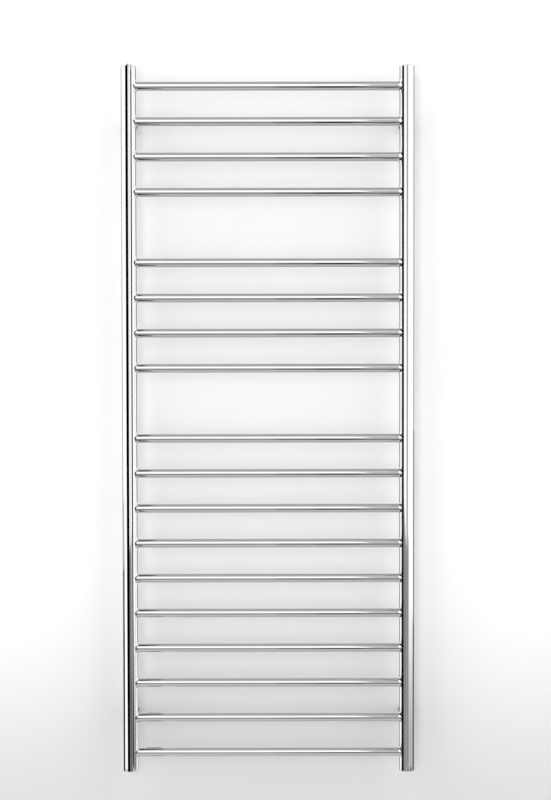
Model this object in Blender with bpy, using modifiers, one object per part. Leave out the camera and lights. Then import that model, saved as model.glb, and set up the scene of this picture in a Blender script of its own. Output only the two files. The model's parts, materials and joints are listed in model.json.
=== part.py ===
"""A wall-hung towel warmer rack: a ladder of stainless steel tubes that heating water flows through.

Units are metres. +Z is up, +X is to the right of a person who faces the rack, and the front faces -Y.
The origin is on the wall, at the centre of the four wall fixings.
"""

from math import cos, pi, radians, sin

import bmesh
import bpy
from mathutils import Matrix, Vector

# Driving dimensions
OVERALL_WIDTH = 0.500
POST_DIAMETER = 0.0254
POST_WALL = 0.0015
RUNG_DIAMETER = 0.015
RUNG_WALL = 0.001
RUNG_PITCH = 0.060
RUNG_PLACES = 20
EMPTY_PLACES = (4, 9)  # counted from the top place, 0: they leave the two wide gaps
TOP_END = 0.602  # height of the posts' upper end faces
BOTTOM_END = -TOP_END
WALL_TO_POST_AXIS = 0.060

# Clearance between pieces that touch
GAP = 0.0003

# Frame of the ladder
POST_RADIUS = POST_DIAMETER / 2
POST_BORE_RADIUS = POST_RADIUS - POST_WALL
POST_X = OVERALL_WIDTH / 2 - POST_RADIUS
POST_Y = -WALL_TO_POST_AXIS
RUNG_RADIUS = RUNG_DIAMETER / 2
RUNG_HALF_LENGTH = 0.230  # the ends stand inside the post's bore, past its wall
TOP_RUNG_HEIGHT = RUNG_PITCH * (RUNG_PLACES - 1) / 2
FIXING_HEIGHT = TOP_RUNG_HEIGHT - RUNG_PITCH  # level with the second rung from each end
SIDES = {"left": -1, "right": 1}

# Screwed end bush: one at each end of each post. Heights run inwards from the end face.
BUSH_SHOULDER = 0.012
BUSH_LENGTH = 0.018
BUSH_SPIGOT_RADIUS = POST_BORE_RADIUS - GAP
BUSH_CHAMFER = 0.0006
SEAL_SEAT_RADIUS = 0.0109
SEAL_SEAT_DEPTH = 0.0019
PORT_RADIUS = 0.0093  # half-inch pipe thread, at its crests
PORT_DEPTH = 0.014
WATERWAY_RADIUS = 0.007

# Plugs that close the upper ends. Heights run upwards from the end face.
NECK_RADIUS = 0.0087
NECK_LENGTH = 0.009
VENT_FLANGE_RADIUS = 0.0118
VENT_FLANGE_TOP = 0.0026
VENT_BOSS_RADIUS = 0.0057
VENT_BOSS_TOP = 0.0055
VENT_CHAMFER = 0.0005
VENT_COIN_SLOT = (0.002, 0.0015)  # width, depth
BLANK_HEAD_RADIUS = POST_RADIUS
BLANK_HEAD_TOP = 0.002
BLANK_HEAD_ROUND = 0.0012
BLANK_HEX = (0.010, 0.006)  # across flats, depth
SEAL_RING_RADIUS = 0.00985
SEAL_CORD_RADIUS = 0.0007
SEAL_HEIGHT = -0.00085

# Bleed screw and its seat in the vent plug
BLEED_RADIUS = 0.003
BLEED_TOP = 0.005
BLEED_CONE_TOP = -0.00075
BLEED_TIP_RADIUS = 0.0012
BLEED_SLOT = (0.0012, 0.0015)  # width, depth
SEAT_CONE_TOP = -0.001
VENT_HOLE_RADIUS = 0.001

# Wall fixing. Heights run from the wall towards the post.
BARREL_RADIUS = 0.010
BARREL_BORE_RADIUS = 0.0063
BARREL_LENGTH = 0.036
BARREL_BASE = 0.005
BARREL_CHAMFER = 0.0006
STUB_RADIUS = 0.008
STUB_CHAMFER = 0.0005
SPIGOT_RADIUS = BARREL_BORE_RADIUS - GAP
SPIGOT_TIP = 0.016
GROOVE_HEIGHT = 0.026  # also the height of the grub screw
GROOVE_RADIUS = 0.0052
GROOVE_HALF_WIDTH = 0.0012
GRUB_RADIUS = 0.0025
GRUB_TIP_RADIUS = 0.001
GRUB_TIP_LENGTH = 0.0014
GRUB_OUTER_END = 0.0095  # from the fixing's axis
GRUB_HEX = (0.0025, 0.0022)
SCREW_RADIUS = 0.0024
SCREW_HOLE_RADIUS = 0.00275
SCREW_HEAD_RADIUS = 0.0046
SCREW_HEAD_HEIGHT = 0.0027
SCREW_REACH = 0.045  # into the wall
SCREW_TAPER = 0.005
SCREW_HEX = (0.003, 0.0016)

# Facets round each turned shape
POST_STEPS = 24
RUNG_STEPS = 20
PLUG_STEPS = 24
FIXING_STEPS = 20
SMALL_STEPS = 12

# Finishes: colour, metallic, roughness
FINISHES = {
    "polished_steel": ((0.80, 0.80, 0.79, 1), 1.0, 0.07),
    "chromed_brass": ((0.83, 0.83, 0.84, 1), 1.0, 0.05),
    "zinc_plate": ((0.62, 0.63, 0.64, 1), 1.0, 0.35),
    "seal_rubber": ((0.02, 0.02, 0.02, 1), 0.0, 0.7),
}


def clear_scene():
    for thing in list(bpy.data.objects):
        bpy.data.objects.remove(thing, do_unlink=True)


def new_collection(name):
    collection = bpy.data.collections.new(name)
    bpy.context.scene.collection.children.link(collection)
    return collection


def new_material(name, finish):
    colour, metallic, roughness = FINISHES[finish]
    material = bpy.data.materials.new(name)
    material.use_nodes = True
    shader = material.node_tree.nodes["Principled BSDF"]
    shader.inputs["Base Color"].default_value = colour
    shader.inputs["Metallic"].default_value = metallic
    shader.inputs["Roughness"].default_value = roughness
    return material


def add_mesh(name, mesh, parent=None, location=(0, 0, 0), rotation=(0, 0, 0)):
    thing = bpy.data.objects.new(name, mesh)
    thing.parent = parent
    thing.location = location
    thing.rotation_euler = rotation
    return thing


def add_part(name, mesh, finish, **place):
    part = add_mesh(name, mesh, **place)
    part.data.materials.append(new_material(name + "_finish", finish))
    RACK.objects.link(part)
    return part


def add_cutter(name, mesh, **place):
    cutter = add_mesh(name, mesh, **place)
    cutter.hide_render = True
    cutter.display_type = "WIRE"
    CUTTERS.objects.link(cutter)
    return cutter


def add_empty(name, location, rotation=(0, 0, 0)):
    empty = bpy.data.objects.new(name, None)
    empty.empty_display_size = POST_DIAMETER
    empty.location = location
    empty.rotation_euler = rotation
    RACK.objects.link(empty)
    return empty


def outline_mesh(name, profile):
    """Edges through (radius, height) points in the XZ plane, closed unless they end on the axis."""
    points = [(radius, 0, height) for radius, height in profile]
    edges = [(i, i + 1) for i in range(len(points) - 1)]
    if profile[0][0] > 0:
        edges.append((len(points) - 1, 0))
    mesh = bpy.data.meshes.new(name)
    mesh.from_pydata(points, edges, [])
    return mesh


def turned(name, profile, steps, finish, **place):
    """A part spun about its local Z axis. The profile runs down the outer side, top to bottom."""
    part = add_part(name, outline_mesh(name, profile), finish, **place)
    spin = part.modifiers.new("Spin", "SCREW")
    spin.axis = "Z"
    spin.angle = 2 * pi
    spin.steps = spin.render_steps = steps
    spin.use_merge_vertices = True
    spin.merge_threshold = 0.00001
    spin.use_smooth_shade = True
    return part


def bars_mesh(name, radius, spans, steps):
    """Round bars of one radius, or hexagonal ones with 6 steps, between pairs of end centres."""
    mesh = bpy.data.meshes.new(name)
    bars = bmesh.new()
    for start, end in spans:
        start, end = Vector(start), Vector(end)
        turn = (end - start).to_track_quat("Z", "Y").to_matrix().to_4x4()
        bmesh.ops.create_cone(
            bars,
            cap_ends=True,
            segments=steps,
            radius1=radius,
            radius2=radius,
            depth=(end - start).length,
            matrix=Matrix.Translation((start + end) / 2) @ turn,
        )
    bars.to_mesh(mesh)
    bars.free()
    return mesh


def block_mesh(name, size, centre):
    mesh = bpy.data.meshes.new(name)
    block = bmesh.new()
    place = Matrix.Translation(centre) @ Matrix.Diagonal((*size, 1))
    bmesh.ops.create_cube(block, size=1, matrix=place)
    block.to_mesh(mesh)
    block.free()
    return mesh


def cut(part, mesh):
    """Cuts a shape, given in the part's own frame, out of the part."""
    cutter = add_cutter(mesh.name, mesh, parent=part)
    boolean = part.modifiers.new(mesh.name, "BOOLEAN")
    boolean.operation = "DIFFERENCE"
    boolean.solver = "EXACT"
    boolean.object = cutter


def cut_hex(part, across_flats_and_depth, top):
    """Cuts a hexagonal key socket down from a height on the part's axis."""
    across_flats, depth = across_flats_and_depth
    corner_radius = across_flats / 2 / cos(pi / 6)
    span = ((0, 0, top - depth), (0, 0, top + depth))
    cut(part, bars_mesh(part.name + "_socket", corner_radius, [span], steps=6))


def cut_slot(part, width_and_depth, top, length):
    """Cuts a straight slot along X across the top of the part."""
    width, depth = width_and_depth
    cut(part, block_mesh(part.name + "_slot", (length, width, 2 * depth), (0, 0, top)))


def tube_profile(radius, wall, bottom, top):
    return [(radius, top), (radius, bottom), (radius - wall, bottom), (radius - wall, top)]


def rung_heights():
    places = [place for place in range(RUNG_PLACES) if place not in EMPTY_PLACES]
    return [TOP_RUNG_HEIGHT - place * RUNG_PITCH for place in places]


def add_post(side, sign):
    """A tube with a hole for each rung in the wall that faces the other post."""
    bottom = BOTTOM_END + BUSH_SHOULDER + GAP
    top = TOP_END - BUSH_SHOULDER - GAP
    profile = tube_profile(POST_RADIUS, POST_WALL, bottom, top)
    post = turned(
        "post_" + side, profile, POST_STEPS, "polished_steel", location=(sign * POST_X, POST_Y, 0)
    )
    hole_reach = -sign * POST_DIAMETER
    holes = [((0, 0, height), (hole_reach, 0, height)) for height in rung_heights()]
    cut(post, bars_mesh(post.name + "_rung_holes", RUNG_RADIUS + GAP, holes, RUNG_STEPS))


def add_rungs():
    profile = tube_profile(RUNG_RADIUS, RUNG_WALL, -RUNG_HALF_LENGTH, RUNG_HALF_LENGTH)
    for number, height in enumerate(rung_heights(), start=1):
        turned(
            f"rung_{number:02d}",
            profile,
            RUNG_STEPS,
            "polished_steel",
            location=(0, POST_Y, height),
            rotation=(0, pi / 2, 0),
        )


def add_port_bush(end, side, end_centre):
    """A threaded bush whose spigot stands in the end of the post; heights run up from its face."""
    profile = [
        (BUSH_SPIGOT_RADIUS, BUSH_LENGTH),
        (BUSH_SPIGOT_RADIUS, BUSH_SHOULDER),
        (POST_RADIUS, BUSH_SHOULDER),
        (POST_RADIUS, BUSH_CHAMFER),
        (POST_RADIUS - BUSH_CHAMFER, 0),
        (SEAL_SEAT_RADIUS, 0),
        (SEAL_SEAT_RADIUS, SEAL_SEAT_DEPTH),
        (PORT_RADIUS, SEAL_SEAT_DEPTH),
        (PORT_RADIUS, PORT_DEPTH),
        (WATERWAY_RADIUS, PORT_DEPTH),
        (WATERWAY_RADIUS, BUSH_LENGTH),
    ]
    turned(
        f"port_bush_{end}_{side}",
        profile,
        POST_STEPS,
        "polished_steel",
        parent=end_centre,
        rotation=(pi if end == "top" else 0, 0, 0),
    )


def add_seal(name, end_centre):
    bpy.ops.mesh.primitive_torus_add(
        major_segments=PLUG_STEPS,
        minor_segments=6,
        major_radius=SEAL_RING_RADIUS,
        minor_radius=SEAL_CORD_RADIUS,
    )
    torus = bpy.context.object
    mesh = torus.data
    bpy.data.objects.remove(torus)
    mesh.shade_smooth()
    add_part(name, mesh, "seal_rubber", parent=end_centre, location=(0, 0, SEAL_HEIGHT))


def add_vent_plug(end_centre):
    """A flanged plug whose slotted boss holds the bleed screw above its conical seat."""
    seat_tip = SEAT_CONE_TOP - (BLEED_RADIUS + GAP - VENT_HOLE_RADIUS)
    profile = [
        (BLEED_RADIUS + GAP, VENT_BOSS_TOP),
        (VENT_BOSS_RADIUS - VENT_CHAMFER, VENT_BOSS_TOP),
        (VENT_BOSS_RADIUS, VENT_BOSS_TOP - VENT_CHAMFER),
        (VENT_BOSS_RADIUS, VENT_FLANGE_TOP),
        (VENT_FLANGE_RADIUS - VENT_CHAMFER, VENT_FLANGE_TOP),
        (VENT_FLANGE_RADIUS, VENT_FLANGE_TOP - VENT_CHAMFER),
        (VENT_FLANGE_RADIUS, GAP),
        (NECK_RADIUS, GAP),
        (NECK_RADIUS, -NECK_LENGTH),
        (VENT_HOLE_RADIUS, -NECK_LENGTH),
        (VENT_HOLE_RADIUS, seat_tip),
        (BLEED_RADIUS + GAP, SEAT_CONE_TOP),
    ]
    plug = turned("vent_plug", profile, PLUG_STEPS, "chromed_brass", parent=end_centre)
    cut_slot(plug, VENT_COIN_SLOT, VENT_BOSS_TOP, length=4 * VENT_BOSS_RADIUS)


def add_bleed_screw(end_centre):
    """Turns about the post's axis to let trapped air out."""
    cone_tip = BLEED_CONE_TOP - (BLEED_RADIUS - BLEED_TIP_RADIUS)
    profile = [
        (0, BLEED_TOP),
        (BLEED_RADIUS, BLEED_TOP),
        (BLEED_RADIUS, BLEED_CONE_TOP),
        (BLEED_TIP_RADIUS, cone_tip),
        (0, cone_tip),
    ]
    screw = turned("bleed_screw", profile, PLUG_STEPS, "chromed_brass", parent=end_centre)
    cut_slot(screw, BLEED_SLOT, BLEED_TOP, length=4 * BLEED_RADIUS)


def add_blanking_plug(end_centre):
    """A screwed plug with a key socket, whose round-edged head is flush with the post."""
    arc_centre = (BLANK_HEAD_RADIUS - BLANK_HEAD_ROUND, BLANK_HEAD_TOP - BLANK_HEAD_ROUND)
    arc = [
        (
            arc_centre[0] + BLANK_HEAD_ROUND * sin(radians(angle)),
            arc_centre[1] + BLANK_HEAD_ROUND * cos(radians(angle)),
        )
        for angle in (0, 22.5, 45, 67.5, 90)
    ]
    rim = (BLANK_HEAD_RADIUS, GAP)
    neck = [(NECK_RADIUS, GAP), (NECK_RADIUS, -NECK_LENGTH), (0, -NECK_LENGTH)]
    profile = [(0, BLANK_HEAD_TOP), *arc, rim, *neck]
    plug = turned("blanking_plug", profile, PLUG_STEPS, "chromed_brass", parent=end_centre)
    cut_hex(plug, BLANK_HEX, BLANK_HEAD_TOP)


def add_rail_stub(corner, fixing):
    """Welded to the back of the post; its grooved spigot slides into the barrel."""
    shoulder = BARREL_LENGTH + GAP
    groove_depth = SPIGOT_RADIUS - GROOVE_RADIUS
    groove_mouth = GROOVE_HALF_WIDTH + groove_depth
    profile = [
        (0, WALL_TO_POST_AXIS),
        (STUB_RADIUS, WALL_TO_POST_AXIS),
        (STUB_RADIUS, shoulder + STUB_CHAMFER),
        (STUB_RADIUS - STUB_CHAMFER, shoulder),
        (SPIGOT_RADIUS, shoulder),
        (SPIGOT_RADIUS, GROOVE_HEIGHT + groove_mouth),
        (GROOVE_RADIUS, GROOVE_HEIGHT + GROOVE_HALF_WIDTH),
        (GROOVE_RADIUS, GROOVE_HEIGHT - GROOVE_HALF_WIDTH),
        (SPIGOT_RADIUS, GROOVE_HEIGHT - groove_mouth),
        (SPIGOT_RADIUS, SPIGOT_TIP + STUB_CHAMFER),
        (SPIGOT_RADIUS - STUB_CHAMFER, SPIGOT_TIP),
        (0, SPIGOT_TIP),
    ]
    stub = turned("rail_stub_" + corner, profile, FIXING_STEPS, "polished_steel", parent=fixing)
    post_span = [((0, -POST_DIAMETER, WALL_TO_POST_AXIS), (0, POST_DIAMETER, WALL_TO_POST_AXIS))]
    cut(stub, bars_mesh(stub.name + "_saddle", POST_RADIUS + GAP, post_span, POST_STEPS))


def add_wall_barrel(corner, fixing):
    """Screwed flat to the wall through its base; a cross hole takes the grub screw."""
    profile = [
        (BARREL_BORE_RADIUS + BARREL_CHAMFER, BARREL_LENGTH),
        (BARREL_RADIUS - BARREL_CHAMFER, BARREL_LENGTH),
        (BARREL_RADIUS, BARREL_LENGTH - BARREL_CHAMFER),
        (BARREL_RADIUS, BARREL_CHAMFER),
        (BARREL_RADIUS - BARREL_CHAMFER, 0),
        (SCREW_HOLE_RADIUS, 0),
        (SCREW_HOLE_RADIUS, BARREL_BASE),
        (BARREL_BORE_RADIUS, BARREL_BASE),
        (BARREL_BORE_RADIUS, BARREL_LENGTH - BARREL_CHAMFER),
    ]
    barrel = turned("wall_barrel_" + corner, profile, FIXING_STEPS, "polished_steel", parent=fixing)
    span = [((0, -GROOVE_RADIUS, GROOVE_HEIGHT), (0, -2 * BARREL_RADIUS, GROOVE_HEIGHT))]
    cut(barrel, bars_mesh(barrel.name + "_cross_hole", GRUB_RADIUS + GAP, span, SMALL_STEPS))


def add_grub_screw(corner, fixing):
    """Locks the stub in the barrel from below; its cone bears on the spigot's groove."""
    tip = GROOVE_RADIUS + GAP
    profile = [
        (0, GRUB_OUTER_END),
        (GRUB_RADIUS, GRUB_OUTER_END),
        (GRUB_RADIUS, tip + GRUB_TIP_LENGTH),
        (GRUB_TIP_RADIUS, tip),
        (0, tip),
    ]
    screw = turned(
        "grub_screw_" + corner,
        profile,
        SMALL_STEPS,
        "zinc_plate",
        parent=fixing,
        location=(0, 0, GROOVE_HEIGHT),
        rotation=(pi / 2, 0, 0),
    )
    cut_hex(screw, GRUB_HEX, GRUB_OUTER_END)


def add_wall_screw(corner, fixing):
    """Holds the barrel's base to the wall; its head is inside the barrel."""
    seat = BARREL_BASE + GAP
    crown = seat + SCREW_HEAD_HEIGHT
    profile = [
        (0, crown),
        (0.7 * SCREW_HEAD_RADIUS, crown - 0.1 * SCREW_HEAD_HEIGHT),
        (SCREW_HEAD_RADIUS, seat + 0.4 * SCREW_HEAD_HEIGHT),
        (SCREW_HEAD_RADIUS, seat),
        (SCREW_RADIUS, seat),
        (SCREW_RADIUS, SCREW_TAPER - SCREW_REACH),
        (0, -SCREW_REACH),
    ]
    screw = turned("wall_screw_" + corner, profile, SMALL_STEPS, "zinc_plate", parent=fixing)
    cut_hex(screw, SCREW_HEX, crown)


def add_wall_fixing(level, side, location):
    """One of the four fixings. Its empty's +Z axis points from the wall to the post."""
    corner = f"{level}_{side}"
    fixing = add_empty("fixing_" + corner, location, rotation=(pi / 2, 0, 0))
    add_rail_stub(corner, fixing)
    add_wall_barrel(corner, fixing)
    add_grub_screw(corner, fixing)
    add_wall_screw(corner, fixing)


def build_rack():
    for side, sign in SIDES.items():
        add_post(side, sign)
        for end, height in (("top", TOP_END), ("bottom", BOTTOM_END)):
            end_centre = add_empty(f"end_{end}_{side}", (sign * POST_X, POST_Y, height))
            add_port_bush(end, side, end_centre)
        for level, height in (("upper", FIXING_HEIGHT), ("lower", -FIXING_HEIGHT)):
            add_wall_fixing(level, side, (sign * POST_X, 0, height))
    add_rungs()

    vent_end = bpy.data.objects["end_top_left"]
    add_vent_plug(vent_end)
    add_seal("vent_plug_seal", vent_end)
    add_bleed_screw(vent_end)

    blank_end = bpy.data.objects["end_top_right"]
    add_blanking_plug(blank_end)
    add_seal("blanking_plug_seal", blank_end)


clear_scene()
RACK = new_collection("towel_warmer_rack")
CUTTERS = new_collection("cutters")
build_rack()
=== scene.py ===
"""The looks of the wall-hung towel warmer rack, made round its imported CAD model.

Each visible piece stands for one CAD node and takes its place and its outer size from that node.
Units are metres: +Z is up, the wall is at y = 0 and the rack's front faces -Y.
"""

import json
import math

import bmesh
import bpy
from mathutils import Matrix, Vector


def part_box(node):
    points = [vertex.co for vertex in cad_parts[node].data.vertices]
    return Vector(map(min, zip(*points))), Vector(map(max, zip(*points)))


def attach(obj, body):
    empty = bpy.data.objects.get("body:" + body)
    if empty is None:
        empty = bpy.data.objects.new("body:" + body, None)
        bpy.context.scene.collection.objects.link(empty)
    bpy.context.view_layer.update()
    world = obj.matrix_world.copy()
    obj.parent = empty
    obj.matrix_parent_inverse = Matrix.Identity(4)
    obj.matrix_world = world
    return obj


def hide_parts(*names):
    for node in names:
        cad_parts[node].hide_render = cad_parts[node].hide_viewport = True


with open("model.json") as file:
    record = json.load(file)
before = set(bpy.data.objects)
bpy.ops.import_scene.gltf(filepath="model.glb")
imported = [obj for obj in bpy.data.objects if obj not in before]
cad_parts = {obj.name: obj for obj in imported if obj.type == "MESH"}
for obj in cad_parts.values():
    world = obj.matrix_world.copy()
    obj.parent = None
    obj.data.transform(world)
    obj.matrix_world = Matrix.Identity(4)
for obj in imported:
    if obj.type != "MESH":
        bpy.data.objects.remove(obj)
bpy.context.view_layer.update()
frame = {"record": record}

# Smoothness of the turned pieces
TUBE_STEPS = 128
SMALL_STEPS = 64
CORNER_STEPS = 6
THREAD_ROWS = 10  # rows of vertices for each turn of a thread
SHARP_ANGLE = math.radians(35)

# Sizes that the CAD nodes' boxes don't show
POST_WALL = 0.0015
RUNG_WALL = 0.001
EDGE_ROUND = 0.0007  # on the posts' open ends
BUSH_SHOULDER = 0.012
BUSH_SPIGOT_RADIUS = 0.0109
SEAL_SEAT_RADIUS = 0.0109
SEAL_SEAT_DEPTH = 0.0019
PORT_RADIUS = 0.0093
PORT_DEPTH = 0.014
WATERWAY_RADIUS = 0.007
PIPE_PITCH = 0.001814  # half-inch pipe thread
PIPE_THREAD_DEPTH = 0.0006
NECK_RADIUS = 0.0087
NECK_RUN_OUT = 0.002  # plain length of a plug's neck under its head
HEAD_GAP = 0.0003  # under a plug's head, and round the pieces that slide into a hole
WELD_THROAT = 0.0042
WELD_OVERLAP = 0.0004  # how far a weld reaches under the tubes' skins
WELD_BANDS = 8  # faces across a weld
CHAMFER = 0.0002  # on the small turned edges
KEY_EDGE = 0.00012  # softening of slots and key sockets


# ---------------------------------------------------------------- mesh building


def rounded(corners, closed):
    """Profile points through (radius, height, rounding) corners."""
    points = []
    last = len(corners) - 1
    for index, (radius, height, rounding) in enumerate(corners):
        here = Vector((radius, height))
        at_end = not closed and index in (0, last)
        if rounding == 0 or at_end:
            points.append(here)
            continue
        before = Vector(corners[index - 1][:2])
        after = Vector(corners[(index + 1) % len(corners)][:2])
        start = here + (before - here).normalized() * rounding
        end = here + (after - here).normalized() * rounding
        for step in range(CORNER_STEPS + 1):
            t = step / CORNER_STEPS
            points.append(start * (1 - t) ** 2 + here * 2 * t * (1 - t) + end * t**2)
    return points


def thread_rows(radius, start, end, pitch):
    """Corners at one radius from start to end, close enough together to carry a thread."""
    count = round(abs(end - start) / pitch * THREAD_ROWS)
    return [(radius, start + (end - start) * row / count, 0) for row in range(count + 1)]


def cut_thread(body, radius, low, high, pitch, depth):
    """Moves the vertices at a radius in or out along a right-handed helix, faded at its ends."""
    for vertex in body.verts:
        x, y, z = vertex.co
        if abs(math.hypot(x, y) - radius) > 1e-6 or not low < z < high:
            continue
        fade = min(1, (z - low) / pitch, (high - z) / pitch)
        phase = z / pitch - math.atan2(y, x) / math.tau
        factor = 1 + depth / radius * fade * (0.5 - 0.5 * math.cos(math.tau * phase))
        vertex.co.x *= factor
        vertex.co.y *= factor


def shade(mesh):
    mesh.shade_smooth()
    mesh.set_sharp_from_angle(angle=SHARP_ANGLE)


def lathe(name, corners, closed=True, steps=SMALL_STEPS, thread=None):
    """A body spun about Z from a profile that runs down its outer side, top to bottom."""
    body = bmesh.new()
    rings = []
    for radius, height in rounded(corners, closed):
        turns = steps if radius > 1e-7 else 1
        angles = [math.tau * turn / turns for turn in range(turns)]
        rings.append(
            [body.verts.new((radius * math.cos(a), radius * math.sin(a), height)) for a in angles]
        )
    below = rings[1:] + (rings[:1] if closed else [])
    for upper, lower in zip(rings, below):
        for turn in range(steps):
            after = (turn + 1) % steps
            corners_of_face = [
                upper[turn % len(upper)],
                lower[turn % len(lower)],
                lower[after % len(lower)],
                upper[after % len(upper)],
            ]
            body.faces.new(dict.fromkeys(corners_of_face))
    if thread:
        cut_thread(body, *thread)
    mesh = bpy.data.meshes.new(name)
    body.to_mesh(mesh)
    body.free()
    shade(mesh)
    return mesh


def add_piece(mesh, location=(0, 0, 0), rotation=(0, 0, 0)):
    piece = bpy.data.objects.new(mesh.name, mesh)
    piece.location = location
    piece.rotation_euler = rotation
    bpy.context.scene.collection.objects.link(piece)
    return piece


def cut_shape(piece, shape, place, bevel):
    """Cuts a bmesh shape, placed in the piece's own frame, out of it and softens its sharp edges.

    The cutter goes where the view layer last had the piece, so that has to be up to date. For the
    plugs and the bleed screw it isn't, and their slots and key socket aren't cut.
    """
    mesh = bpy.data.meshes.new("cutter")
    shape.transform(place)
    shape.to_mesh(mesh)
    shape.free()
    cutter = bpy.data.objects.new("cutter", mesh)
    cutter.matrix_world = piece.matrix_world
    bpy.context.scene.collection.objects.link(cutter)
    boolean = piece.modifiers.new("Cut", "BOOLEAN")
    boolean.object = cutter
    edge = piece.modifiers.new("Soften", "BEVEL")
    edge.width = bevel
    edge.segments = 2
    edge.limit_method = "ANGLE"
    edge.angle_limit = math.radians(50)
    edge.use_clamp_overlap = True
    evaluated = piece.evaluated_get(bpy.context.evaluated_depsgraph_get())
    finished = bpy.data.meshes.new_from_object(evaluated)
    finished.name = piece.name
    piece.modifiers.clear()
    piece.data = finished
    shade(finished)
    bpy.data.objects.remove(cutter)


def cut_hex(piece, across_flats, depth, top):
    shape = bmesh.new()
    radius = across_flats / 2 / math.cos(math.pi / 6)
    bmesh.ops.create_cone(
        shape, cap_ends=True, segments=6, radius1=radius, radius2=radius, depth=2 * depth
    )
    cut_shape(piece, shape, Matrix.Translation((0, 0, top)), bevel=KEY_EDGE)


def cut_slot(piece, width, depth, length, top):
    shape = bmesh.new()
    bmesh.ops.create_cube(shape, size=1, matrix=Matrix.Diagonal((length, width, 2 * depth, 1)))
    cut_shape(piece, shape, Matrix.Translation((0, 0, top)), bevel=KEY_EDGE)


# ---------------------------------------------------------------- materials


def new_material(name, colour, roughness, metallic=1.0):
    material = bpy.data.materials.new(name)
    material.use_nodes = True
    shader = material.node_tree.nodes["Principled BSDF"]
    shader.inputs["Base Color"].default_value = (*colour, 1)
    shader.inputs["Roughness"].default_value = roughness
    shader.inputs["Metallic"].default_value = metallic
    return material, shader


def noise(material, scale, stretch=(1, 1, 1), detail=3.0):
    """Noise in the piece's own frame; stretch is how much finer it is along each axis."""
    tree = material.node_tree
    place = tree.nodes.new("ShaderNodeTexCoord")
    mapping = tree.nodes.new("ShaderNodeMapping")
    mapping.inputs["Scale"].default_value = stretch
    texture = tree.nodes.new("ShaderNodeTexNoise")
    texture.inputs["Scale"].default_value = scale
    texture.inputs["Detail"].default_value = detail
    tree.links.new(place.outputs["Object"], mapping.inputs["Vector"])
    tree.links.new(mapping.outputs["Vector"], texture.inputs["Vector"])
    return texture.outputs["Fac"]


def remap(material, value, low, high):
    """Stretches the middle of a noise to the range from low to high."""
    node = material.node_tree.nodes.new("ShaderNodeMapRange")
    node.inputs["From Min"].default_value = 0.3
    node.inputs["From Max"].default_value = 0.7
    node.inputs["To Min"].default_value = low
    node.inputs["To Max"].default_value = high
    material.node_tree.links.new(value, node.inputs["Value"])
    return node.outputs["Result"]


def blend_colours(material, value, colour_a, colour_b):
    node = material.node_tree.nodes.new("ShaderNodeMix")
    node.data_type = "RGBA"
    node.inputs["A"].default_value = (*colour_a, 1)
    node.inputs["B"].default_value = (*colour_b, 1)
    material.node_tree.links.new(value, node.inputs["Factor"])
    return node.outputs["Result"]


def add_bump(material, shader, value, strength, distance):
    bump = material.node_tree.nodes.new("ShaderNodeBump")
    bump.inputs["Strength"].default_value = strength
    bump.inputs["Distance"].default_value = distance
    material.node_tree.links.new(value, bump.inputs["Height"])
    material.node_tree.links.new(bump.outputs["Normal"], shader.inputs["Normal"])


def polished_steel(name, tone=0.80, roughness=0.045):
    """Mirror-polished stainless steel with faint polishing lines along the piece's own Z axis."""
    material, shader = new_material(name, (tone, tone, tone), roughness)
    links = material.node_tree.links
    lines = noise(material, scale=900, stretch=(1, 1, 0.012), detail=4)
    clouds = noise(material, scale=18, detail=2)
    tint = blend_colours(
        material, remap(material, clouds, 0, 1), [tone * 0.985] * 3, [tone * 1.015] * 3
    )
    links.new(tint, shader.inputs["Base Color"])
    gloss = remap(material, lines, roughness * 0.7, roughness * 1.4)
    links.new(gloss, shader.inputs["Roughness"])
    add_bump(material, shader, lines, strength=0.02, distance=0.00001)
    return material


def chromed_brass(name):
    material, shader = new_material(name, (0.82, 0.82, 0.83), 0.04)
    clouds = noise(material, scale=300, detail=2)
    gloss = remap(material, clouds, 0.03, 0.07)
    material.node_tree.links.new(gloss, shader.inputs["Roughness"])
    return material


def zinc_plate(name):
    material, shader = new_material(name, (0.50, 0.51, 0.53), 0.3)
    links = material.node_tree.links
    grains = noise(material, scale=1500, detail=5)
    tint = blend_colours(
        material, remap(material, grains, 0, 1), (0.46, 0.47, 0.49), (0.56, 0.57, 0.59)
    )
    links.new(tint, shader.inputs["Base Color"])
    links.new(remap(material, grains, 0.24, 0.42), shader.inputs["Roughness"])
    add_bump(material, shader, grains, strength=0.1, distance=0.00005)
    return material


def seal_rubber(name):
    material, shader = new_material(name, (0.012, 0.012, 0.012), 0.6, metallic=0)
    grains = noise(material, scale=2500, detail=3)
    links = material.node_tree.links
    links.new(remap(material, grains, 0.5, 0.75), shader.inputs["Roughness"])
    add_bump(material, shader, grains, strength=0.15, distance=0.00005)
    return material


MATERIALS = {
    "post_steel": polished_steel("post_steel"),
    "rung_steel": polished_steel("rung_steel"),
    "fixing_steel": polished_steel("fixing_steel", tone=0.78, roughness=0.08),
    "chromed_brass": chromed_brass("chromed_brass"),
    "zinc_plate": zinc_plate("zinc_plate"),
    "seal_rubber": seal_rubber("seal_rubber"),
}
SLOTS = {row["node"]: row["material_slot"] for row in frame["record"]["subparts"]}


def stand_for(piece, node, body="rail"):
    piece.data.materials.clear()
    piece.data.materials.append(MATERIALS[SLOTS[node]])
    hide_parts(node)
    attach(piece, body)


# ---------------------------------------------------------------- the frame's places


def centre(node):
    low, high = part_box(node)
    return (low + high) / 2


def size(node):
    low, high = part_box(node)
    return high - low


SIDES = ("left", "right")
POST_RADIUS = size("post_left").x / 2
RUNG_NODES = sorted(node for node in SLOTS if node.startswith("rung_"))
RUNG_RADIUS = size(RUNG_NODES[0]).z / 2
TOP_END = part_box("port_bush_top_left")[1].z
BOTTOM_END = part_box("port_bush_bottom_left")[0].z


# ---------------------------------------------------------------- the ladder


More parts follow.
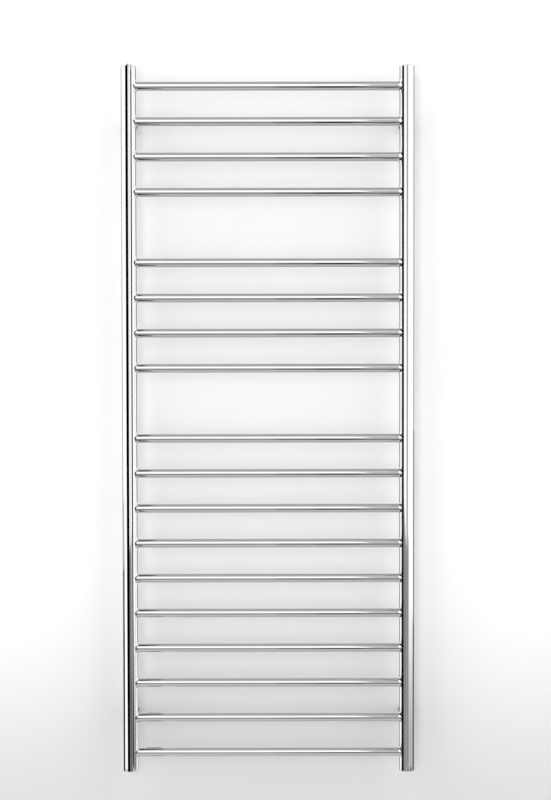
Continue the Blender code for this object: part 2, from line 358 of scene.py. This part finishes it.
def add_post(side):
    """The tube runs right up to the end bushes, because those joints are polished away."""
    node = "post_" + side
    axis = centre(node)
    low = BOTTOM_END + BUSH_SHOULDER
    high = TOP_END - BUSH_SHOULDER
    inner = POST_RADIUS - POST_WALL
    corners = [
        (POST_RADIUS, high, 0),
        (POST_RADIUS, low, 0),
        (inner, low, 0),
        (inner, high, 0),
    ]
    mesh = lathe(node + "_tube", corners, steps=TUBE_STEPS)
    post = add_piece(mesh, location=(axis.x, axis.y, 0))
    stand_for(post, node)


def add_rung(node):
    axis = centre(node)
    half = size(node).x / 2
    inner = RUNG_RADIUS - RUNG_WALL
    corners = [
        (RUNG_RADIUS, half, 0),
        (RUNG_RADIUS, -half, 0),
        (inner, -half, 0),
        (inner, half, 0),
    ]
    mesh = lathe(node + "_tube", corners, steps=TUBE_STEPS)
    rung = add_piece(mesh, location=axis, rotation=(0, math.pi / 2, 0))
    stand_for(rung, node)


def weld_ring(body, branch_radius, place):
    """A hollow fillet where a tube along +X leaves the side of a post along Z."""
    rings = []
    for turn in range(SMALL_STEPS):
        angle = math.tau * turn / SMALL_STEPS
        across = Vector((0, math.sin(angle), math.cos(angle)))

        def on_post(radius):
            point = across * radius
            point.x = math.sqrt(POST_RADIUS**2 - point.y**2)
            return point

        foot = on_post(branch_radius)
        on_branch = foot + Vector((WELD_THROAT, 0, 0))
        away = on_post(branch_radius + WELD_THROAT)
        hidden = on_post(branch_radius - WELD_OVERLAP) - Vector((2 * WELD_OVERLAP, 0, 0))
        section = []
        for band in range(WELD_BANDS + 1):
            t = band / WELD_BANDS
            section.append(on_branch * (1 - t) ** 2 + foot * 2 * t * (1 - t) + away * t**2)
        section.append(hidden)
        rings.append([body.verts.new(place @ point) for point in section])
    for here, after in zip(rings, rings[1:] + rings[:1]):
        for i in range(len(here)):
            j = (i + 1) % len(here)
            body.faces.new((here[i], here[j], after[j], after[i]))


def add_welds(name, branch_radius, places, steel):
    body = bmesh.new()
    for place in places:
        weld_ring(body, branch_radius, place)
    bmesh.ops.recalc_face_normals(body, faces=body.faces)
    mesh = bpy.data.meshes.new(name)
    body.to_mesh(mesh)
    body.free()
    shade(mesh)
    mesh.materials.append(MATERIALS[steel])
    welds = add_piece(mesh)
    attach(welds, "rail")


def add_post_welds(side, turn):
    """The welds round every rung's end, on the face that looks at the other post."""
    post = centre("post_" + side)
    facing = Matrix.Rotation(turn, 4, "Z")
    places = [
        Matrix.Translation((post.x, post.y, centre(node).z)) @ facing for node in RUNG_NODES
    ]
    add_welds(f"post_{side}_welds", RUNG_RADIUS, places, "post_steel")


# ---------------------------------------------------------------- bushes and plugs


def add_port_bush(end, side, edge_round):
    """Heights run inwards from the end face."""
    node = f"port_bush_{end}_{side}"
    axis = centre(node)
    length = size(node).z
    corners = [
        (BUSH_SPIGOT_RADIUS, length, CHAMFER),
        (BUSH_SPIGOT_RADIUS, BUSH_SHOULDER, 0),
        (POST_RADIUS, BUSH_SHOULDER, 0),
        (POST_RADIUS, 0, edge_round),
        (SEAL_SEAT_RADIUS, 0, CHAMFER),
        (SEAL_SEAT_RADIUS, SEAL_SEAT_DEPTH, 0),
        (PORT_RADIUS, SEAL_SEAT_DEPTH, 0),
        *thread_rows(
            PORT_RADIUS, SEAL_SEAT_DEPTH + CHAMFER, PORT_DEPTH - CHAMFER, PIPE_PITCH
        ),
        (PORT_RADIUS, PORT_DEPTH, 0),
        (WATERWAY_RADIUS, PORT_DEPTH, 0),
        (WATERWAY_RADIUS, length, CHAMFER),
    ]
    thread = (PORT_RADIUS, SEAL_SEAT_DEPTH, PORT_DEPTH, PIPE_PITCH, PIPE_THREAD_DEPTH)
    mesh = lathe(node + "_turned", corners, steps=TUBE_STEPS, thread=thread)
    height = TOP_END if end == "top" else BOTTOM_END
    turn = math.pi if end == "top" else 0
    bush = add_piece(mesh, location=(axis.x, axis.y, height), rotation=(turn, 0, 0))
    stand_for(bush, node)


def neck_corners(length):
    """The threaded neck under a plug's head, from the head's underside down."""
    return [
        (NECK_RADIUS, HEAD_GAP, 0),
        *thread_rows(
            NECK_RADIUS, HEAD_GAP - NECK_RUN_OUT - CHAMFER, 2 * CHAMFER - length, PIPE_PITCH
        ),
        (NECK_RADIUS, -length, 0.0003),
    ]


def neck_thread(length):
    return (NECK_RADIUS, -length, HEAD_GAP - NECK_RUN_OUT, PIPE_PITCH, -PIPE_THREAD_DEPTH)


def add_vent_plug():
    node = "vent_plug"
    axis = centre(node)
    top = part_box(node)[1].z - TOP_END
    length = TOP_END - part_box(node)[0].z
    flange = size(node).x / 2
    flange_top = 0.0026
    boss = 0.0057
    bore = size("bleed_screw").x / 2 + HEAD_GAP
    hole = 0.001
    seat_top = -0.001
    corners = [
        (bore, top, 0.0003),
        (boss, top, 0.0005),
        (boss, flange_top, 0.0004),
        (flange, flange_top, 0.0006),
        (flange, HEAD_GAP, CHAMFER),
        *neck_corners(length),
        (hole, -length, CHAMFER),
        (hole, seat_top - (bore - hole), 0),
        (bore, seat_top, 0),
    ]
    mesh = lathe(node + "_turned", corners, steps=TUBE_STEPS, thread=neck_thread(length))
    plug = add_piece(mesh, location=(axis.x, axis.y, TOP_END))
    cut_slot(plug, width=0.002, depth=0.0015, length=4 * boss, top=top)
    stand_for(plug, node)


def add_bleed_screw():
    node = "bleed_screw"
    axis = centre(node)
    low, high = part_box(node)
    radius = size(node).x / 2
    top = high.z - TOP_END
    tip = low.z - TOP_END
    tip_radius = 0.0012
    cone_top = tip + radius - tip_radius  # a cone of 45 degrees
    pitch = 0.001
    thread_top = top - 0.0016
    corners = [
        (0, top, 0),
        (radius, top, 0.0004),
        *thread_rows(radius, thread_top - CHAMFER, cone_top + CHAMFER, pitch),
        (radius, cone_top, CHAMFER),
        (tip_radius, tip, CHAMFER),
        (0, tip, 0),
    ]
    thread = (radius, cone_top, thread_top, pitch, -0.0003)
    mesh = lathe(node + "_turned", corners, closed=False, thread=thread)
    screw = add_piece(mesh, location=(axis.x, axis.y, TOP_END))
    cut_slot(screw, width=0.0012, depth=0.0015, length=4 * radius, top=top)
    stand_for(screw, node, body="bleed")


def add_blanking_plug():
    """Its head sits flush on the post's end, with no seam to see."""
    node = "blanking_plug"
    axis = centre(node)
    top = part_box(node)[1].z - TOP_END
    length = TOP_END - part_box(node)[0].z
    head = size(node).x / 2
    corners = [
        (0, top, 0),
        (head, top, 0.0014),
        (head, 0, 0),
        *neck_corners(length),
        (0, -length, 0),
    ]
    mesh = lathe(
        node + "_turned", corners, closed=False, steps=TUBE_STEPS, thread=neck_thread(length)
    )
    plug = add_piece(mesh, location=(axis.x, axis.y, TOP_END))
    cut_hex(plug, across_flats=0.010, depth=0.006, top=top)
    stand_for(plug, node)


def add_seal(node):
    """A round cord ring."""
    axis = centre(node)
    cord = size(node).z / 2 / math.cos(math.pi / 6)  # the CAD's cord is a hexagon on its flats
    ring = size(node).x / 2 - cord
    steps = 24
    turns = [math.tau * turn / steps for turn in range(steps)]
    corners = [(ring + cord * math.cos(a), -cord * math.sin(a), 0) for a in turns]
    mesh = lathe(node + "_ring", corners, steps=TUBE_STEPS)
    stand_for(add_piece(mesh, location=axis), node)


# ---------------------------------------------------------------- wall fixings


def add_fixing(level, side):
    """Heights run from the wall to the post, along the fixing's own +Z axis."""
    corner = f"{level}_{side}"
    barrel = "wall_barrel_" + corner
    stub = "rail_stub_" + corner
    grub = "grub_screw_" + corner
    screw = "wall_screw_" + corner
    spot = centre(barrel)
    place = {"location": (spot.x, 0, spot.z), "rotation": (math.pi / 2, 0, 0)}

    length = size(barrel).y
    outer = size(barrel).x / 2
    bore = 0.0063
    base = 0.005
    hole = 0.00275
    corners = [
        (bore, length, 0.0004),
        (outer, length, 0.0008),
        (outer, 0, 0.0006),
        (hole, 0, 0.0003),
        (hole, base, 0),
        (bore, base, 0),
    ]
    piece = add_piece(lathe(barrel + "_turned", corners), **place)
    bpy.context.view_layer.update()
    cross = bmesh.new()
    grub_radius = size(grub).x / 2
    bmesh.ops.create_cone(
        cross,
        cap_ends=True,
        segments=32,
        radius1=grub_radius + HEAD_GAP,
        radius2=grub_radius + HEAD_GAP,
        depth=2 * outer,
    )
    grub_height = -centre(grub).y
    sideways = Matrix.Translation((0, -1.5 * outer, grub_height)) @ Matrix.Rotation(
        math.pi / 2, 4, "X"
    )
    cut_shape(piece, cross, sideways, bevel=CHAMFER)
    stand_for(piece, barrel)

    low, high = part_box(stub)
    shoulder = length + HEAD_GAP
    spigot = bore - HEAD_GAP
    groove = 0.0052
    groove_half = 0.0012
    groove_mouth = 0.002
    stub_radius = size(stub).x / 2
    corners = [
        (0, -low.y, 0),
        (stub_radius, -low.y, 0),
        (stub_radius, shoulder, 0.0006),
        (spigot, shoulder, 0),
        (spigot, grub_height + groove_mouth, CHAMFER),
        (groove, grub_height + groove_half, CHAMFER),
        (groove, grub_height - groove_half, CHAMFER),
        (spigot, grub_height - groove_mouth, CHAMFER),
        (spigot, -high.y, 0.0005),
        (0, -high.y, 0),
    ]
    stand_for(add_piece(lathe(stub + "_turned", corners, closed=False), **place), stub)

    half = size(grub).z / 2
    pitch = 0.0008
    corners = [
        (0, half, 0),
        (grub_radius, half, 0.0003),
        *thread_rows(grub_radius, half - 0.0004, 0.0014 - half, pitch),
        (0.001, -half, CHAMFER),
        (0, -half, 0),
    ]
    thread = (grub_radius, 0.0012 - half, half - 0.0003, pitch, -0.0003)
    mesh = lathe(grub + "_turned", corners, closed=False, thread=thread)
    piece = add_piece(mesh, location=centre(grub), rotation=(math.pi, 0, 0))
    bpy.context.view_layer.update()
    cut_hex(piece, across_flats=0.0025, depth=0.0022, top=half)
    stand_for(piece, grub)

    low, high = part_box(screw)
    crown = -low.y
    reach = high.y
    head = size(screw).x / 2
    shank = 0.0024
    seat = base + HEAD_GAP
    point = 0.005
    pitch = 0.0022
    corners = [
        (0, crown, 0),
        (0.7 * head, crown - 0.0003, 0.001),
        (head, seat + 0.0011, 0.0004),
        (head, seat, CHAMFER),
        (shank, seat, 0.0003),
        *thread_rows(shank, -0.001, point - reach, pitch),
        (0, -reach, 0),
    ]
    thread = (shank, point - reach, -0.0005, pitch, -0.0009)
    mesh = lathe(screw + "_turned", corners, closed=False, thread=thread)
    piece = add_piece(mesh, **place)
    bpy.context.view_layer.update()
    cut_hex(piece, across_flats=0.003, depth=0.0016, top=crown)
    stand_for(piece, screw)


for side in SIDES:
    add_post(side)
for rung in RUNG_NODES:
    add_rung(rung)
add_post_welds("left", 0)
add_post_welds("right", math.pi)
for side in SIDES:
    add_port_bush("bottom", side, EDGE_ROUND)
add_port_bush("top", "left", EDGE_ROUND)
add_port_bush("top", "right", 0)
add_vent_plug()
add_bleed_screw()
add_blanking_plug()
add_seal("vent_plug_seal")
add_seal("blanking_plug_seal")
for level in ("upper", "lower"):
    for side in SIDES:
        add_fixing(level, side)
stubs = [node for node in SLOTS if node.startswith("rail_stub_")]
add_welds(
    "stub_welds",
    size(stubs[0]).x / 2,
    [
        Matrix.Translation((centre(stub).x, centre("post_left").y, centre(stub).z))
        @ Matrix.Rotation(math.pi / 2, 4, "Z")
        for stub in stubs
    ],
    "fixing_steel",
)


# ---------------------------------------------------------------- studio

POST_Y = centre("post_left").y
FLOOR_HEIGHT = BOTTOM_END - 0.33
STUDIO_HALF = 8.0
WHITE = 1.6  # radiance of the white studio that the steel reflects

# What the steel reflects: x from the middle, and distance forwards from the posts' axes
CAMERA_DISTANCE = 2.9
MIRROR_FLOOR = -1.2  # height
FLOOR_ROWS = (1.07, 3, 9)  # distances
FLOOR_EDGES = (
    (-1.1, 0.02, 0.12, 0.23, 0.55),
    (-3.2, 0.03, 0.18, 0.34, 1.45),
    (-9.6, 0.06, 0.36, 0.69, 4.2),
)
FLOOR_GLOWS = ((0.33, 0.18, 0.05, 0.16), (0.28, 0.18, 0.05, 0.16))
NEAR_WALL = -0.055  # distance of the screens behind the rack
BESIDE_POSTS = (-0.8, 0.8)  # heights of the upright screens near the posts


def add_plane(name, corners, material):
    mesh = bpy.data.meshes.new(name)
    mesh.from_pydata(corners, [], [(0, 1, 2, 3)])
    mesh.materials.append(material)
    plane = bpy.data.objects.new(name, mesh)
    bpy.context.scene.collection.objects.link(plane)
    return plane


def plain_paint(name, tone):
    material, shader = new_material(name, (tone, tone, tone), 0.9, metallic=0)
    shader.inputs["Specular IOR Level"].default_value = 0.1
    return material, shader


def add_floor():
    half = STUDIO_HALF
    corners = [(-half, -half), (half, -half), (half, half), (-half, half)]
    paint, _ = plain_paint("floor_paint", 0.8)
    floor = add_plane("floor", [(x, y, FLOOR_HEIGHT) for x, y in corners], paint)
    floor.visible_glossy = False


def add_wall():
    """A white wall with painted shade that darkens it towards the floor: solid from the front,
    open from behind.
    """
    paint, shader = plain_paint("wall_paint_with_painted_shade", 0.8)
    tree = paint.node_tree
    links = tree.links
    place = tree.nodes.new("ShaderNodeTexCoord")
    split = tree.nodes.new("ShaderNodeSeparateXYZ")
    links.new(place.outputs["Object"], split.inputs[0])
    # Painted shade: the wall's colour darkens from 0.82 to 0.58 between heights -0.20 and -0.75,
    # in place of light falling off towards the floor.
    fade = tree.nodes.new("ShaderNodeMapRange")
    fade.interpolation_type = "SMOOTHSTEP"
    fade.inputs["From Min"].default_value = -0.75
    fade.inputs["From Max"].default_value = -0.20
    links.new(split.outputs["Z"], fade.inputs["Value"])
    tone = blend_colours(paint, fade.outputs["Result"], [0.58] * 3, [0.82] * 3)
    links.new(tone, shader.inputs["Base Color"])
    side = tree.nodes.new("ShaderNodeNewGeometry")
    clear = tree.nodes.new("ShaderNodeBsdfTransparent")
    mix = tree.nodes.new("ShaderNodeMixShader")
    links.new(side.outputs["Backfacing"], mix.inputs["Fac"])
    links.new(shader.outputs["BSDF"], mix.inputs[1])
    links.new(clear.outputs["BSDF"], mix.inputs[2])
    links.new(mix.outputs["Shader"], tree.nodes["Material Output"].inputs["Surface"])
    half = STUDIO_HALF
    low = FLOOR_HEIGHT
    corners = [(-half, 0, low), (half, 0, low), (half, 0, half), (-half, 0, half)]
    wall = add_plane("wall", corners, paint)
    wall.visible_glossy = False


def add_screen(name, corners, glow):
    """A flat screen that shows only in reflections; corners are (x, distance, height)."""
    material = bpy.data.materials.new(name + "_face")
    material.use_nodes = True
    shader = material.node_tree.nodes["Principled BSDF"]
    shader.inputs["Base Color"].default_value = (0, 0, 0, 1)
    shader.inputs["Roughness"].default_value = 1
    shader.inputs["Specular IOR Level"].default_value = 0
    shader.inputs["Emission Color"].default_value = (1, 1, 1, 1)
    shader.inputs["Emission Strength"].default_value = glow
    material.cycles.emission_sampling = "NONE"
    screen = add_plane(name, [(x, POST_Y - d, z) for x, d, z in corners], material)
    screen.visible_camera = False
    screen.visible_diffuse = False
    screen.visible_shadow = False


def add_board(name, start, end, low, high, glow):
    """An upright screen between two (x, distance) spots."""
    corners = [(*start, low), (*end, low), (*end, high), (*start, high)]
    add_screen(name, corners, glow)


def add_floor_patch(name, x_near, x_far, near, far, glow):
    """A screen on the floor; each pair of x values is its left and right edge at one distance."""
    corners = [
        (x_near[0], near, MIRROR_FLOOR),
        (x_near[1], near, MIRROR_FLOOR),
        (x_far[1], far, MIRROR_FLOOR),
        (x_far[0], far, MIRROR_FLOOR),
    ]
    add_screen(name, corners, glow)


def add_mirror_floor():
    """Grey patches on an imagined floor, for the dark lines low on the rungs."""
    for row, glows in enumerate(FLOOR_GLOWS):
        near, far = FLOOR_ROWS[row : row + 2]
        for i, glow in enumerate(glows):
            name = f"floor_{row}_{i}"
            x_near, x_far = (edges[i : i + 2] for edges in FLOOR_EDGES[row : row + 2])
            add_floor_patch(name, x_near, x_far, near, far, glow)
    add_floor_patch("floor_side", (1.9, 2.4), (1.7, 2.3), 0.1, 1.3, glow=0.25)


def add_post_screens():
    """Dark and grey stripes for the posts, and a far grey one that the rungs show too.

    From the front, the rungs show none of the others.
    """
    add_board("dark_left", (-0.2562, 0.0254), (-0.2706, 0.4295), *BESIDE_POSTS, glow=0)
    add_board("dark_right", (0.273, 0.371), (0.310, 0.811), *BESIDE_POSTS, glow=0)
    add_board("grey_right", (0.2329, 0.03), (0.2414, 0.03), *BESIDE_POSTS, glow=0.4)
    add_board("grey_far", (0.41, 4), (0.8, 4), -3, 3, glow=0.6)
    add_board("low_right", (0.262, -0.1), (0.262, 0.2), -0.75, -0.61, glow=0.3)


def add_wall_screens():
    """Each row says where a screen starts and ends in x and in height, and how it glows."""
    rows = (
        (-1.2, -0.31, -1, -0.39, 0.02),
        (-1.2, -0.31, -0.39, -0.27, 0.18),
        (-1.2, -0.31, -0.27, -0.15, 0.7),
        (0.40, 0.60, -1, -0.38, 0.12),
        (0.26, 0.40, -1, -0.02, 0.16),
        (0.26, 0.40, -0.02, 0.8, 0.45),
        (-0.215, -0.19, -1, -0.42, 0.3),
        (-0.19, -0.165, -1, -0.42, 0.7),
    )
    for i, (x_start, x_end, low, high, glow) in enumerate(rows):
        start = (x_start, NEAR_WALL)
        end = (x_end, NEAR_WALL)
        add_board(f"near_wall_{i}", start, end, low, high, glow)


def add_world():
    """White for the camera, light for the wall and floor, and a white room for reflections.

    The light is weaker from the front. The room is darker near the floor, overhead and far behind.
    """
    world = bpy.data.worlds.new("studio")
    bpy.context.scene.world = world
    world.use_nodes = True
    tree = world.node_tree
    tree.nodes.clear()
    links = tree.links

    def math_node(operation, *values):
        node = tree.nodes.new("ShaderNodeMath")
        node.operation = operation
        for socket, value in zip(node.inputs, values):
            if isinstance(value, (int, float)):
                socket.default_value = value
            else:
                links.new(value, socket)
        return node.outputs[0]

    def step(value, start, end, below, above):
        """A smooth step from one level to another."""
        node = tree.nodes.new("ShaderNodeMapRange")
        node.interpolation_type = "SMOOTHSTEP"
        for name, setting in zip(
            ("Value", "From Min", "From Max", "To Min", "To Max"),
            (value, start, end, below, above),
        ):
            if isinstance(setting, (int, float)):
                node.inputs[name].default_value = setting
            else:
                links.new(setting, node.inputs[name])
        return node.outputs["Result"]

    place = tree.nodes.new("ShaderNodeTexCoord")
    split = tree.nodes.new("ShaderNodeSeparateXYZ")
    links.new(place.outputs["Generated"], split.inputs[0])
    x, y, z = (split.outputs[axis] for axis in "XYZ")
    degree = math.degrees(1)
    bearing = math_node("MULTIPLY", math_node("ARCTAN2", x, math_node("MULTIPLY", y, -1)), degree)
    elevation = math_node("MULTIPLY", math_node("ARCSINE", z), degree)

    # angles in degrees, and y as the share of a direction that runs backwards
    low_right = step(elevation, -13, -7, 0.7, WHITE)
    front = step(bearing, 8, 28, WHITE, low_right)
    front = step(elevation, -18, -15, 0.75, front)
    front = step(elevation, 36, 48, front, 0.6)
    behind = step(elevation, -30, -14, 0.7, WHITE)
    behind = step(elevation, 20, 40, behind, 0.6)
    dusk = step(elevation, -11, -7, 0.4, 0.2)
    dusk = step(elevation, 12, 17, dusk, WHITE)
    dusk = step(elevation, 28, 45, dusk, 0.5)
    behind = step(y, 0.6, 0.68, behind, dusk)
    room = step(y, 0.15, 0.35, front, behind)

    path = tree.nodes.new("ShaderNodeLightPath")
    output = tree.nodes.new("ShaderNodeOutputWorld")
    seen, soft, shiny = (tree.nodes.new("ShaderNodeBackground") for _ in range(3))
    seen.inputs["Strength"].default_value = 1.0
    links.new(step(math_node("ABSOLUTE", bearing), 20, 40, 0.42, 2.55), soft.inputs["Strength"])
    links.new(room, shiny.inputs["Strength"])
    glossy, camera = (tree.nodes.new("ShaderNodeMixShader") for _ in range(2))
    links.new(path.outputs["Is Glossy Ray"], glossy.inputs["Fac"])
    links.new(soft.outputs[0], glossy.inputs[1])
    links.new(shiny.outputs[0], glossy.inputs[2])
    links.new(path.outputs["Is Camera Ray"], camera.inputs["Fac"])
    links.new(glossy.outputs[0], camera.inputs[1])
    links.new(seen.outputs[0], camera.inputs[2])
    links.new(camera.outputs[0], output.inputs["Surface"])


def add_key_light():
    """Soft light from the left; the steel doesn't reflect it."""
    data = bpy.data.lights.new("key", "AREA")
    data.shape = "RECTANGLE"
    data.size = 0.75
    data.size_y = 2.5
    data.energy = 40
    light = bpy.data.objects.new("key", data)
    light.location = (-0.75, POST_Y - 4.1, 0.3)
    light.rotation_euler = Vector(light.location).to_track_quat("Z", "Y").to_euler()
    light.visible_camera = False
    light.visible_glossy = False
    bpy.context.scene.collection.objects.link(light)


def add_camera():
    data = bpy.data.cameras.new("camera")
    data.lens = 76.27
    data.sensor_width = 36
    data.shift_x = 0.0092
    data.shift_y = 0.0126
    camera = bpy.data.objects.new("camera", data)
    camera.location = (0, POST_Y - CAMERA_DISTANCE, 0.10)
    camera.rotation_euler = [math.radians(angle) for angle in (90 - 1.618, 0.096, 0)]
    bpy.context.scene.collection.objects.link(camera)
    bpy.context.scene.camera = camera


add_floor()
add_wall()
add_mirror_floor()
add_post_screens()
add_wall_screens()
add_world()
add_key_light()
add_camera()
bpy.context.scene.view_settings.view_transform = "Standard"
